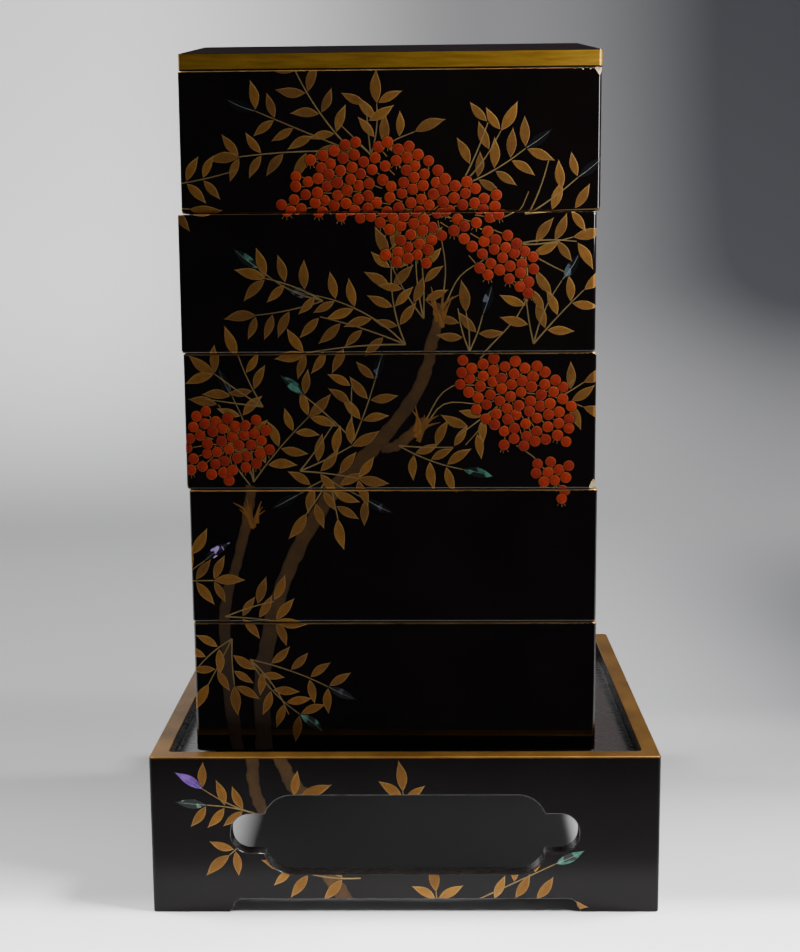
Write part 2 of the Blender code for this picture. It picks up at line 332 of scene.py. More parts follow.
def roundedSection(corners, steps=4):
    # Nodes of a section from its corners: inset, height, edge rounding, plan corner. lean is
    # the angle of the surface above facing outwards; the two end corners only give directions
    nodes, run = [], 0.0
    heading = None
    for i in range(1, len(corners) - 1):
        here = Vector((-corners[i][0], corners[i][1]))
        before = here - Vector((-corners[i - 1][0], corners[i - 1][1]))
        after = Vector((-corners[i + 1][0], corners[i + 1][1])) - here
        leanIn = math.atan2(-before.x, before.y) if heading is None else heading
        change = math.atan2(-after.x, after.y) - leanIn
        change = (change + math.pi) % (2 * math.pi) - math.pi
        sign = 1.0 if change > 0 else -1.0
        radius = corners[i][2]
        start = here - before.normalized() * radius * math.tan(abs(change) / 2)
        middle = start - sign * radius * Vector((math.cos(leanIn), math.sin(leanIn)))
        if nodes:
            run += (start - Vector((-nodes[-1]["inset"], nodes[-1]["z"]))).length
        for step in range(steps + 1):
            lean = leanIn + change * step / steps
            spot = middle + sign * radius * Vector((math.cos(lean), math.sin(lean)))
            nodes.append({"t": run + radius * abs(change) * step / steps, "inset": -spot.x,
                          "z": spot.y, "lean": lean, "corner": corners[i][3], "at": i})
        run = nodes[-1]["t"]
        heading = leanIn + change
    outside = next(node for node in nodes if abs(node["inset"]) < 1e-6 and abs(node["lean"]) < 1e-6)
    shift = outside["z"] - outside["t"]
    for node in nodes:
        node["t"] = round(node["t"] + shift, snap)
    return nodes


def sectionAt(nodes, t):
    # Inset, height, lean and plan corner at t mm along the section
    for before, after in zip(nodes, nodes[1:]):
        if t <= after["t"] + 1e-6:
            break
    share = (t - before["t"]) / max(after["t"] - before["t"], 1e-9)
    share = min(1.0, max(0.0, share))
    return [before[key] + (after[key] - before[key]) * share
            for key in ("inset", "z", "lean", "corner")]


# Building the faces of a piece

def atSeam(plan, s):
    return min(abs(s - plan["start"]), abs(s - plan["end"])) < 0.003


def newWork(plan):
    return {"plan": plan, "points": [], "seen": {}, "faces": []}


def pointOn(work, s, inset, z, lean, corner, lift=0.0):
    # Place and normal on the wrapped skin; lift raises it along the normal
    if atSeam(work["plan"], s):
        s = work["plan"]["start"]
    x, y, out = outlineAt(work["plan"], s, inset, corner)
    flat = math.cos(lean)
    normal = Vector((out[0] * flat, out[1] * flat, math.sin(lean)))
    return Vector((x, y, z)) + normal * lift, normal


def addFace(work, places, normals, finish, tone=0.5):
    indices = []
    for place in places:
        key = (round(place[0], 3) + 0.0, round(place[1], 3) + 0.0, round(place[2], 3) + 0.0)
        if key not in work["seen"]:
            work["seen"][key] = len(work["points"])
            work["points"].append(place)
        indices.append(work["seen"][key])
    kept = [i for i in range(len(indices)) if indices[i] != indices[i - 1]]
    if len(kept) > 2 and len(set(indices)) == len(kept):
        work["faces"].append(([indices[i] for i in kept], [normals[i] for i in kept], finish, tone))


def finishOf(shape, base):
    # Finish and tone of a face, from the shape painted over it if there is one
    return (shape["finish"], shape["tone"]) if shape else (base, 0.5)


def cutSheet(outer, lines, holes, shapes):
    # Cuts a flat sheet into triangles along every line and outline. Gives the points, and each
    # triangle with the uppermost shape over it
    points, edges, faces = [], [], []
    for loop in [outer] + holes + [shape["points"] for shape in shapes]:
        faces.append(list(range(len(points), len(points) + len(loop))))
        points += [Vector(place) for place in loop]
    for start, end in lines:
        edges.append((len(points), len(points) + 1))
        points += [Vector(start), Vector(end)]
    made = delaunay_2d_cdt(points, edges, faces, 1, 0.0005)
    places = [(round(p.x, snap), round(p.y, snap)) for p in made[0]]
    triangles = []
    for corners, over in zip(made[2], made[5]):
        if 0 in over and not any(0 < face <= len(holes) for face in over):
            top = max(over) - 1 - len(holes)
            triangles.append((list(corners), shapes[top] if top >= 0 else None))
    return places, triangles


def liftsOf(places, triangles):
    # A point is as high as the lowest shape around it, and the sheet's own edge stays down
    lifts = [9.0] * len(places)
    once = set()
    for corners, shape in triangles:
        for i in range(3):
            lifts[corners[i]] = min(lifts[corners[i]], shape["lift"] if shape else 0.0)
            edge = (corners[i], corners[(i + 1) % 3])
            if (edge[1], edge[0]) in once:
                once.discard((edge[1], edge[0]))
            else:
                once.add(edge)
    for start, end in once:
        lifts[start] = lifts[end] = 0.0
    return lifts, once


def chainEdges(plan, places, edges):
    # Joins the free edges of a sheet into closed loops; its two ends meet at the back
    def key(i):
        s, t = places[i]
        return (plan["start"] if atSeam(plan, s) else s, t)
    following = {}
    for start, end in edges:
        if not (atSeam(plan, places[start][0]) and atSeam(plan, places[end][0])):
            following[key(start)] = key(end)
    loops = []
    while following:
        first = next(iter(following))
        loop, here = [], first
        while here in following:
            loop.append(here)
            here = following.pop(here)
        loops.append(loop)
    return loops


def wrapSheet(work, placeAt, outer, levels, shapes, base, holes=(), facing=1.0):
    # Paints, cuts and wraps an unrolled sheet of skin; gives its free loops. placeAt gives the
    # inset, height, lean and corner at t, and facing is -1 for a sheet that faces inwards
    plan = work["plan"]
    low, high = min(t for s, t in outer), max(t for s, t in outer)
    sides = set()
    for wall in plan["walls"]:
        for side in (-1, 1):
            for step in range(cornerSteps // 2 + 1):
                past = math.pi / 4 * plan["corner"] * step / (cornerSteps // 2)
                s = wall["middle"] + side * (wall["half"] - plan["corner"] + past)
                sides.add(round((s - plan["start"]) % plan["round"] + plan["start"], 2))
    lines = [((s, low), (s, high)) for s in sorted(sides)]
    lines += [((plan["start"], t), (plan["end"], t)) for t in sorted(set(levels))]
    places, triangles = cutSheet(outer, lines, list(holes), shapes)
    lifts, free = liftsOf(places, triangles)
    wrapped = []
    for (s, t), lift in zip(places, lifts):
        inset, z, lean, corner = placeAt(t)
        wrapped.append(pointOn(work, s, inset, z, lean, corner, lift if lift < 9.0 else 0.0))
    for corners, shape in triangles:
        if facing < 0.0:
            corners = corners[::-1]
        spots = [wrapped[i][0] for i in corners]
        normals = [wrapped[i][1] for i in corners]
        flat = max((normals[0] - normals[1]).length, (normals[0] - normals[2]).length) < 1e-4
        if flat and any(lifts[i] > 0.0 for i in corners):
            tilted = (spots[1] - spots[0]).cross(spots[2] - spots[0])
            if tilted.length > 1e-6 and tilted.normalized().dot(normals[0]) > 0.85:
                normals = [tilted.normalized()] * 3
        addFace(work, spots, normals, *finishOf(shape, base))
    loops = chainEdges(plan, places, free)
    return [loop[::-1] for loop in loops] if facing < 0.0 else loops


def growRing(work, loop, before, after, finish):
    # One band of faces beside a loop of (s, t), from one section node to the next
    for i in range(len(loop)):
        pair = [loop[(i + 1) % len(loop)][0], loop[i][0]]
        made = [pointOn(work, s, before["inset"], before["z"], before["lean"], before["corner"])
                for s in pair]
        made += [pointOn(work, s, after["inset"], after["z"], after["lean"], after["corner"])
                 for s in reversed(pair)]
        addFace(work, [m[0] for m in made], [m[1] for m in made], finish)


def growSection(work, loop, nodes, finish):
    # Bands from node to node along the section, then a flat cap over what is left
    for before, after in zip(nodes, nodes[1:]):
        gap = abs(before["inset"] - after["inset"]) + abs(before["z"] - after["z"])
        if gap > 1e-6:
            growRing(work, loop, before, after, finish)
    closeCap(work, loop, nodes[-1], finish)


def closeCap(work, loop, node, finish):
    centre = Vector((0.0, 0.0, node["z"]))
    normal = Vector((0.0, 0.0, math.sin(node["lean"])))
    for i in range(len(loop)):
        pair = [loop[(i + 1) % len(loop)][0], loop[i][0]]
        spots = [pointOn(work, s, node["inset"], node["z"], node["lean"], node["corner"])[0] for s in pair]
        addFace(work, spots + [centre], [normal] * 3, finish)


def paintCap(work, loop, node, shapes, base):
    # The flat top inside a loop, cut up by the shapes painted on it
    rim = [pointOn(work, s, node["inset"], node["z"], node["lean"], node["corner"])[0] for s, t in loop]
    outer = [(round(p.x, snap), round(p.y, snap)) for p in rim[::-1]]
    places, triangles = cutSheet(outer, [], [], shapes)
    lifts, _ = liftsOf(places, triangles)
    up = Vector((0.0, 0.0, 1.0))
    for corners, shape in triangles:
        spots = [Vector((*places[i], node["z"] + lifts[i])) for i in corners]
        tilted = (spots[1] - spots[0]).cross(spots[2] - spots[0]).normalized()
        normal = tilted if tilted.z > 0.85 else up
        addFace(work, spots, [normal] * 3, *finishOf(shape, base))


def cutThrough(work, loop, wall, arris, corners, finish, steps=3):
    # Carries a free loop of the outer skin through the wall, with both edges softly rounded.
    # The loop keeps the wood on its left, so the opening is on its right
    total = work["plan"]["round"]
    count = len(loop)
    ways = []
    for i in range(count):
        turns = []
        for a, b in ((loop[i - 1], loop[i]), (loop[i], loop[(i + 1) % count])):
            ds = (b[0] - a[0] + total / 2) % total - total / 2
            turns.append(Vector((b[1] - a[1], -ds)).normalized())
        way = (turns[0] + turns[1]).normalized()
        ways.append(way / max(0.6, way.dot(turns[0])))
    rings = []
    for step in range(2 * steps + 2):
        turn = math.pi / 2 * min(step, 2 * steps + 1 - step) / steps
        near = step <= steps
        depth = arris * (1 - math.cos(turn)) if near else wall - arris * (1 - math.cos(turn))
        corner = corners[0] + (corners[1] - corners[0]) * depth / wall
        ring = []
        for (s, t), way in zip(loop, ways):
            spot = s + way.x * arris * math.sin(turn), t + way.y * arris * math.sin(turn)
            point, out = pointOn(work, spot[0], depth, spot[1], 0.0, corner)
            tread = Vector((-out.y, out.x, 0.0)) * way.x + Vector((0.0, 0.0, way.y))
            facing = out * (math.cos(turn) if near else -math.cos(turn))
            ring.append((point, (facing + tread.normalized() * math.sin(turn)).normalized()))
        rings.append(ring)
    for ring, following in zip(rings, rings[1:]):
        for i in range(count):
            j = (i + 1) % count
            four = [ring[j], ring[i], following[i], following[j]]
            addFace(work, [f[0] for f in four], [f[1] for f in four], finish)


def dropSlivers(solid):
    # Takes out the hair-thin extra triangles left along an edge where outlines meet a corner
    slivers = []
    for face in solid.faces:
        links = [len(edge.link_faces) for edge in face.edges]
        if 1 in links and max(links) > 2:
            slivers.append(face)
    bmesh.ops.delete(solid, geom=slivers, context="FACES")


def finishPiece(work, name, measured, chips=()):
    # Makes the mesh object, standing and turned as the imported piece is
    used = sorted({face[2] for face in work["faces"]} | ({"wood"} if chips else set()))
    mesh = bpy.data.meshes.new(name)
    mesh.from_pydata([point * mm for point in work["points"]], [], [face[0] for face in work["faces"]])
    for finish in used:
        mesh.materials.append(finishes[finish])
    tones = mesh.attributes.new("tone", "FLOAT", "FACE")
    soft = mesh.attributes.new("soft", "FLOAT_VECTOR", "CORNER")
    corner = 0
    for polygon, (_, normals, finish, tone) in zip(mesh.polygons, work["faces"]):
        polygon.material_index = used.index(finish)
        tones.data[polygon.index].value = tone
        for normal in normals:
            soft.data[corner].vector = normal
            corner += 1
    solid = bmesh.new()
    solid.from_mesh(mesh)
    bmesh.ops.remove_doubles(solid, verts=solid.verts, dist=0.004 * mm)
    bmesh.ops.dissolve_degenerate(solid, edges=solid.edges, dist=0.001 * mm)
    dropSlivers(solid)
    for chip in chips:
        cutChip(solid, chip, used.index("wood"))
    openEdges = sum(1 for edge in solid.edges if len(edge.link_faces) != 2)
    solid.to_mesh(mesh)
    solid.free()
    setNormals(mesh)
    piece = bpy.data.objects.new(name, mesh)
    bpy.context.scene.collection.objects.link(piece)
    piece.location = (measured["x"] * mm, measured["y"] * mm, measured["floor"] * mm)
    piece.rotation_euler = (0.0, 0.0, measured["turn"])
    print(name, "triangles:", sum(len(p.vertices) - 2 for p in mesh.polygons), "open edges:", openEdges)
    return piece


def setNormals(mesh):
    # Flat painted walls stay flat, and only the rounded edges are shaded smooth
    soft = mesh.attributes["soft"]
    normals = []
    for polygon in mesh.polygons:
        for corner in polygon.loop_indices:
            normal = Vector(soft.data[corner].vector)
            fair = normal.length > 0.5 and normal.normalized().dot(polygon.normal) > 0.3
            normals.append(normal.normalized() if fair else polygon.normal.copy())
    mesh.attributes.remove(soft)
    mesh.shade_smooth()
    mesh.normals_split_custom_set(normals)


def cutChip(solid, chip, woodIndex):
    # Takes off a corner along a plane through three points on its edges, and roughens the break
    corner, ends = chip
    face = (ends[1] - ends[0]).cross(ends[2] - ends[0]).normalized()
    if face.dot(ends[0]) > 0.0:
        face.negate()
    plane = (corner + (ends[0] + ends[1] + ends[2]) / 3) * mm
    everything = solid.verts[:] + solid.edges[:] + solid.faces[:]
    made = bmesh.ops.bisect_plane(solid, geom=everything, plane_co=plane, plane_no=face,
                                  clear_outer=True, dist=0.0005 * mm)
    rim = [item for item in made["geom_cut"] if isinstance(item, bmesh.types.BMEdge)]
    filled = bmesh.ops.triangle_fill(solid, use_beauty=True, edges=rim)
    fresh = [item for item in filled["geom"] if isinstance(item, bmesh.types.BMFace)]
    for item in fresh:
        item.material_index = woodIndex
        item.smooth = False
    bmesh.ops.recalc_face_normals(solid, faces=solid.faces)


def shapesWithin(picture, low, high):
    # The painted shapes that touch a band of the picture, moved to the piece's own height
    found = []
    for shape in picture:
        heights = [z for s, z in shape["points"]]
        if max(heights) > low and min(heights) < high:
            moved = [(s, z - low) for s, z in shape["points"]]
            found.append({**shape, "points": moved})
    return found


def firstOf(nodes, at):
    return next(i for i, node in enumerate(nodes) if node["at"] == at)


def lastOf(nodes, at):
    return max(i for i, node in enumerate(nodes) if node["at"] == at)


def sheetOutline(plan, low, high):
    start, end = plan["start"], plan["end"]
    return [(start, low), (end, low), (end, high), (start, high)]


# Trays

tray = {
    "corner": 2.0, "wall": 6.6, "floor": 3.0, "insideCorner": 3.0, "bottomRound": 1.5,
    "rimRound": 0.7, "footDrop": 4.0, "footInset": 9.1, "footCorner": 1.2, "footRound": 0.8,
    "fillet": 1.2, "footFillet": 0.3, "squeeze": 20.0, "middle": 60.0,
    "goldDown": {"tier_1": -0.12, "tier_2": -0.75, "tier_3": 0.08, "tier_4": 0.15, "tier_5": 0.15},
    "chips": {
        "tier_1": ("rim", 4.3, 1.6, 6.4),
        "tier_3": ("bottom", 4.0, 2.2, 8.8),
    },
}


def makeTray(name, picture):
    measured = measureNode(name)
    measured["floor"] = measured["low"] + tray["footDrop"]
    height = measured["high"] - measured["floor"]
    plan = makePlan(measured["width"], measured["depth"], tray["corner"], tray["squeeze"])
    nodes = roundedSection([
        (tray["middle"], -tray["footDrop"], 0.0, tray["footCorner"]),
        (tray["footInset"], -tray["footDrop"], tray["footRound"], tray["footCorner"]),
        (tray["footInset"], 0.0, tray["footFillet"], tray["footCorner"]),
        (0.0, 0.0, tray["bottomRound"], tray["corner"]),
        (0.0, height, tray["rimRound"], tray["corner"]),
        (tray["wall"], height, tray["rimRound"], tray["insideCorner"]),
        (tray["wall"], tray["floor"], tray["fillet"], tray["insideCorner"]),
        (tray["middle"], tray["floor"], 0.0, tray["insideCorner"]),
    ])
    first, last = firstOf(nodes, 3), lastOf(nodes, 5)
    low, high = nodes[first]["t"], nodes[last]["t"]
    shapes = shapesWithin(picture, measured["floor"], measured["floor"] + height)
    shapes += rimLine(plan, height - tray["rimRound"] - tray["goldDown"][name], high, name)
    work = newWork(plan)
    loops = wrapSheet(work, lambda t: sectionAt(nodes, t), sheetOutline(plan, low, high),
                      [node["t"] for node in nodes[first + 1:last]], shapes, "lacquer")
    top = max(loops, key=lambda loop: loop[0][1])
    bottom = min(loops, key=lambda loop: loop[0][1])
    growSection(work, top, nodes[last:], "inside")
    growSection(work, bottom, nodes[first::-1], "inside")
    chips = []
    if name in tray["chips"]:
        edge, left, back, along = tray["chips"][name]
        level = height if edge == "rim" else 0.0
        corner = Vector((measured["width"] / 2, -measured["depth"] / 2, level))
        run = Vector((0.0, 0.0, -along if edge == "rim" else along))
        chips = [(corner, (Vector((-left, 0.0, 0.0)), Vector((0.0, back, 0.0)), run))]
    piece = finishPiece(work, name + "_painted", measured, chips)
    standIn(piece, name)


def standIn(piece, node):
    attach(piece, "root")
    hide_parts(node)


# Lid

lid = {
    "corner": 2.0, "band": 8.9, "slopeWidth": 12.2, "slopeRise": 4.6, "topCorner": 1.8,
    "panel": 5.5, "tongueDrop": 4.0, "tongueInset": 9.1, "tongueWall": 5.0, "tongueCorner": 1.2,
    "insideCorner": 3.0, "edgeRound": 0.4, "arrisRound": 0.35, "tongueRound": 0.8,
    "fillet": 0.8, "squeeze": 25.0, "middle": 60.0, "bandMargin": 0.55,
}


def makeLid(name, topPicture):
    measured = measureNode(name)
    measured["floor"] = measured["low"] + lid["tongueDrop"]
    height = lid["band"] + lid["slopeRise"]
    hollow = lid["tongueInset"] + lid["tongueWall"]
    plan = makePlan(measured["width"], measured["depth"], lid["corner"], lid["squeeze"])
    nodes = roundedSection([
        (lid["middle"], height - lid["panel"], 0.0, lid["insideCorner"]),
        (hollow, height - lid["panel"], lid["fillet"], lid["insideCorner"]),
        (hollow, -lid["tongueDrop"], lid["edgeRound"], lid["insideCorner"]),
        (lid["tongueInset"], -lid["tongueDrop"], lid["tongueRound"], lid["tongueCorner"]),
        (lid["tongueInset"], 0.0, lid["edgeRound"], lid["tongueCorner"]),
        (0.0, 0.0, lid["edgeRound"], lid["corner"]),
        (0.0, lid["band"], lid["arrisRound"], lid["corner"]),
        (lid["slopeWidth"], height, lid["edgeRound"], lid["topCorner"]),
        (lid["middle"], height, 0.0, lid["topCorner"]),
    ])
    first, last = firstOf(nodes, 5), lastOf(nodes, 7)
    low, high = nodes[first]["t"], nodes[last]["t"]
    work = newWork(plan)
    band = sheetOutline(plan, lid["bandMargin"], lid["band"] - lid["arrisRound"])
    shapes = [{"points": band, "finish": "bandGold", "lift": 0.04, "tone": 0.5}]
    loops = wrapSheet(work, lambda t: sectionAt(nodes, t), sheetOutline(plan, low, high),
                      [node["t"] for node in nodes[first + 1:last]], shapes, "lacquer")
    top = max(loops, key=lambda loop: loop[0][1])
    bottom = min(loops, key=lambda loop: loop[0][1])
    paintCap(work, top, nodes[last], topPicture, "lacquer")
    growSection(work, bottom, nodes[first::-1], "inside")
    piece = finishPiece(work, name + "_painted", measured)
    standIn(piece, name)


# Stand

stand = {
    "corner": 2.0, "wall": 9.8, "insideCorner": 3.0, "rimRound": 0.8, "recess": 9.5, "board": 8.0,
    "fillet": 0.6, "arris": 0.5, "middle": 60.0,
    "sill": 22.5, "belowBoard": 4.9, "windowCorner": 16.0,
    "earMargin": 45.0, "earLength": 18.4, "earHeight": 22.8, "earRise": 0.7, "earRound": 10.4,
    "footLength": 43.0, "gapHeight": 7.7, "gapRound": 5.0, "gapFlare": 2.9,
}


def arc(cx, cz, radius, start, end, steps):
    # Points from one angle to another, in degrees
    turns = [math.radians(start + (end - start) * k / steps) for k in range(steps + 1)]
    return [(cx + radius * math.cos(turn), cz + radius * math.sin(turn)) for turn in turns]


def mirrored(right):
    return right + [(-x, z) for x, z in reversed(right)]


def windowOutline(wallLength, top, grow):
    # Half the outline is worked out and mirrored; grow widens it for the rounded edge
    ends = wallLength / 2 - stand["earMargin"]
    side = ends - stand["earLength"] + grow
    radius, earRadius = stand["windowCorner"] + grow, stand["earRound"] + grow
    low, high = stand["sill"] - grow, top + grow
    earMiddle = (stand["sill"] + top) / 2 + stand["earRise"]
    earLow, earHigh = earMiddle - stand["earHeight"] / 2 - grow, earMiddle + stand["earHeight"] / 2 + grow
    cx, lowCentre, highCentre = side - radius, low + radius, high - radius
    earX = ends + grow - earRadius
    meetLow = math.degrees(math.asin((earLow - lowCentre) / radius))
    meetHigh = math.degrees(math.asin((earHigh - highCentre) / radius))
    right = arc(cx, lowCentre, radius, -90, meetLow, 9)
    right += arc(earX, earLow + earRadius, earRadius, -90, 0, 8)
    right += arc(earX, earHigh - earRadius, earRadius, 0, 90, 8)
    right += arc(cx, highCentre, radius, meetHigh, 90, 9)
    return mirrored(right)


def gapOutline(wallLength, grow):
    # The space between two feet, flared at the ground
    half = wallLength / 2 - stand["footLength"] + grow
    inner = half - stand["gapFlare"]
    top, radius = stand["gapHeight"] + grow, stand["gapRound"]
    right = [(half, -5.0), (half, 0.0)] + arc(inner - radius, top - radius, radius, 0, 90, 7)
    return mirrored(right)


def makeStand(name, picture):
    measured = measureNode(name)
    measured["floor"] = measured["low"]
    height = measured["high"] - measured["low"]
    boardTop = height - stand["recess"]
    boardUnder = boardTop - stand["board"]
    plan = makePlan(measured["width"], measured["depth"], stand["corner"], stand["footLength"])
    nodes = roundedSection([
        (stand["middle"], 0.0, 0.0, stand["corner"]),
        (0.0, 0.0, 0.0, stand["corner"]),
        (0.0, height, stand["rimRound"], stand["corner"]),
        (stand["wall"], height, stand["rimRound"], stand["insideCorner"]),
        (stand["wall"], boardTop, stand["fillet"], stand["insideCorner"]),
        (stand["middle"], boardTop, 0.0, stand["insideCorner"]),
    ])
    first, last = lastOf(nodes, 1), lastOf(nodes, 3)
    arris = stand["arris"]
    holes = []
    for wall, length in zip(plan["walls"], [measured["width"], measured["depth"]] * 2):
        for outline in (windowOutline(length, boardUnder - stand["belowBoard"], arris),
                        gapOutline(length, arris)):
            holes.append([(wall["middle"] + x, z) for x, z in outline])
    shapes = shapesWithin(picture, 0.0, height)
    for shape in shapes:
        if shape["finish"] == "lacquer":
            shape["finish"] = "standLacquer"
    gold = sheetOutline(plan, height - stand["rimRound"] - 0.2, nodes[last]["t"])
    shapes.append({"points": gold, "finish": "standGold", "lift": 0.0, "tone": 0.5})
    work = newWork(plan)
    outer = sheetOutline(plan, arris, nodes[last]["t"])
    loops = wrapSheet(work, lambda t: sectionAt(nodes, t), outer,
                      [node["t"] for node in nodes[first + 1:last]], shapes, "standLacquer", holes)
    top = max(loops, key=lambda loop: min(t for s, t in loop))
    bottom = max(loops, key=lambda loop: sum(1 for s, t in loop if t < arris + 0.01))
    windows = [loop for loop in loops if loop is not top and loop is not bottom]
    growSection(work, top, nodes[last:], "inside")
    for loop in windows + [bottom]:
        cutThrough(work, loop, stand["wall"], arris, (stand["corner"], stand["insideCorner"]), "inside")
    seam = next(i for i, (s, t) in enumerate(bottom) if atSeam(plan, s))
    ordered = bottom[seam:] + bottom[:seam]
    start, end = plan["start"], plan["end"]
    outline = [(start, ordered[0][1])] + ordered[1:] + [(end, ordered[0][1])]
    outline += [(end, boardUnder), (start, boardUnder)]
    inner = wrapSheet(work, lambda t: (stand["wall"], t, math.pi, stand["insideCorner"]), outline, [],
                      [], "inside", [loop[::-1] for loop in windows], -1.0)
    ceiling = max(inner, key=lambda loop: min(t for s, t in loop))
    under = {"inset": stand["wall"], "z": boardUnder, "lean": -math.pi / 2, "corner": stand["insideCorner"]}
    closeCap(work, ceiling, under, "inside")
    piece = finishPiece(work, name + "_painted", measured)
    standIn(piece, name)


# Picture: places are mm round the piece from the middle of its front, and mm above the ground

def addShape(picture, points, finish, lift, tone=0.5):
    # Later shapes lie over earlier ones
    points = [(round(p[0], 2), round(p[1], 2)) for p in points]
    area = sum(a[0] * b[1] - b[0] * a[1] for a, b in zip(points, points[1:] + points[:1]))
    if area < 0.0:
        points = points[::-1]
    picture.append({"points": points, "finish": finish, "lift": lift, "tone": tone})


def smoothPath(path, steps=4):
    # A soft curve through a few points
    spots = [Vector(p) for p in path]
    if len(spots) == 2:
        return [spots[0].lerp(spots[1], k / steps) for k in range(steps + 1)]
    ends = [2 * spots[0] - spots[1]] + spots + [2 * spots[-1] - spots[-2]]
    curve = []
    for a, b, c, d in zip(ends, ends[1:], ends[2:], ends[3:]):
        for step in range(steps):
            u = step / steps
            curve.append(0.5 * (2 * b + u * (c - a) + u * u * (2 * a - 5 * b + 4 * c - d)
                                + u * u * u * (3 * b - a - 3 * c + d)))
    return curve + [spots[-1]]


def addStroke(picture, path, wide, narrow, finish="lineGold", lift=0.05, tone=0.5):
    # One brush stroke along a path, from its wide to its narrow width
    curve = smoothPath(path)
    left, right = [], []
    for i, spot in enumerate(curve):
        way = (curve[min(i + 1, len(curve) - 1)] - curve[max(i - 1, 0)]).normalized()
        half = (wide + (narrow - wide) * i / (len(curve) - 1)) / 2
        side = Vector((-way.y, way.x)) * half
        left.append(spot + side)
        right.append(spot - side)
    addShape(picture, left + right[::-1], finish, lift, tone)


leafForm = {"length": 16.5, "apart": 8.2, "slender": 0.31, "body": 0.3, "edge": 0.26, "footEdge": 0.9,
            "tipEdge": 1.5, "vein": 0.26, "lift": 0.05, "bend": 0.05}
leafVein = (0.03, 0.35, 0.65, 0.86)
leafSteps = ((0.06, 0.20), (0.16, 0.56), (0.28, 0.85), (0.42, 1.0), (0.57, 0.93), (0.71, 0.68),
             (0.83, 0.37), (0.92, 0.14))


def leafOutline(base, tip, wide, bend):
    # A lance-shaped leaflet with a drawn-out point
    run = tip - base
    across = Vector((-run.y, run.x)).normalized()
    left, right = [base], [tip]
    for u, share in leafSteps:
        spine = base + run * u + across * bend * math.sin(math.pi * u)
        left.append(spine + across * wide / 2 * share)
        right.insert(1, spine - across * wide / 2 * share)
    return left + right


def addLeaf(picture, base, tip, shell=None):
    # A gold leaflet with a finer bright edge and a dark midrib, or one of shell with a pale midrib
    base, tip = Vector(base), Vector(tip)
    length = (tip - base).length
    run = (tip - base).normalized()
    wide = leafForm["slender"] * length + leafForm["body"]
    bend = random.uniform(-1.0, 1.0) * leafForm["bend"] * length
    tone = random.uniform(0.2, 0.9)
    if shell is None:
        addShape(picture, leafOutline(base, tip, wide, bend), "lineGold", leafForm["lift"], tone)
        inner = leafOutline(base + run * leafForm["footEdge"], tip - run * leafForm["tipEdge"],
                            wide - 2 * leafForm["edge"], bend)
        addShape(picture, inner, "leafGold", leafForm["lift"] + 0.02, tone)
    else:
        addShape(picture, leafOutline(base, tip, wide * 0.92, bend), shell, 0.0)
    across = Vector((-run.y, run.x))
    vein = [base + run * length * u + across * bend * math.sin(math.pi * u) for u in leafVein]
    addStroke(picture, vein, leafForm["vein"], 0.12, "vein" if shell is None else "shellVein", 0.03, tone)


def addStem(picture, path, wide=0.85, narrow=0.52):
    addStroke(picture, path, wide, narrow, "stemGold", tone=random.uniform(0.3, 0.8))


def addTrunk(picture, rows, steps):
    # rows of s, z, width and tone; a knotty outline, the powder thinner at its edges and its foot
    spine = smoothPath([row[:2] for row in rows], steps)
    edges = []
    for i, spot in enumerate(spine):
        place = min(i / steps, len(rows) - 1.001)
        lower, upper, part = rows[int(place)], rows[int(place) + 1], place % 1.0
        way = (spine[min(i + 1, len(spine) - 1)] - spine[max(i - 1, 0)]).normalized()
        across = Vector((-way.y, way.x))
        half = (lower[2] + (upper[2] - lower[2]) * part) / 2
        reach = (half + random.uniform(-0.55, 0.45), half + random.uniform(-0.55, 0.45))
        tone = (lower[3] + (upper[3] - lower[3]) * part) * random.uniform(0.88, 1.08)
        edges.append((spot, across, reach, tone))
    for inset, share in ((0.0, 0.55), (0.75, 1.0)):
        for (spotA, acrossA, reachA, toneA), (spotB, acrossB, reachB, toneB) in zip(edges, edges[1:]):
            quad = [spotA + acrossA * (reachA[0] - inset), spotA - acrossA * (reachA[1] - inset),
                    spotB - acrossB * (reachB[1] - inset), spotB + acrossB * (reachB[0] - inset)]
            addShape(picture, quad, "bark", 0.04, share * (toneA + toneB) / 2)


berryForm = {"across": 6.1, "gap": 0.30, "edge": 0.38, "crown": 1.45, "tick": 1.7, "pitch": 6.55,
             "jitter": 0.85, "sides": 14}


def circle(s, z, radius, turn):
    angles = [turn + 2 * math.pi * k / berryForm["sides"] for k in range(berryForm["sides"])]
    return [(s + radius * math.cos(a), z + radius * math.sin(a)) for a in angles]


def addBerry(picture, s, z, ticks=0):
    # A raised round berry cut off from its neighbours by a dark line; ticks are the small gold
    # marks at its free end
    radius = berryForm["across"] / 2 * random.uniform(0.95, 1.03)
    turn, tone = random.uniform(0.0, 1.0), random.uniform(0.1, 0.9)
    for k in range(ticks):
        way = -math.pi / 2 + (k - (ticks - 1) / 2) * 0.55 + random.uniform(-0.1, 0.1)
        start = (s + radius * 0.9 * math.cos(way), z + radius * 0.9 * math.sin(way))
        reach = radius + berryForm["tick"]
        end = (s + reach * math.cos(way), z + reach * math.sin(way))
        addStroke(picture, [start, end], 0.34, 0.28, tone=0.8)
    addShape(picture, circle(s, z, radius + berryForm["gap"], turn), "lacquer", 0.0)
    addShape(picture, circle(s, z, radius, turn), "berryEdge", 0.08, tone)
    addShape(picture, circle(s, z, radius - berryForm["edge"], turn), "berry", 0.14, tone)
    crown = circle(s, z, radius - berryForm["crown"], turn)
    addShape(picture, crown, "berry", 0.22, min(1.0, tone + 0.12))


def within(blob, s, z):
    inside = False
    for (s1, z1), (s2, z2) in zip(blob, blob[1:] + blob[:1]):
        if (z1 > z) != (z2 > z) and s < s1 + (z - z1) / (z2 - z1) * (s2 - s1):
            inside = not inside
    return inside


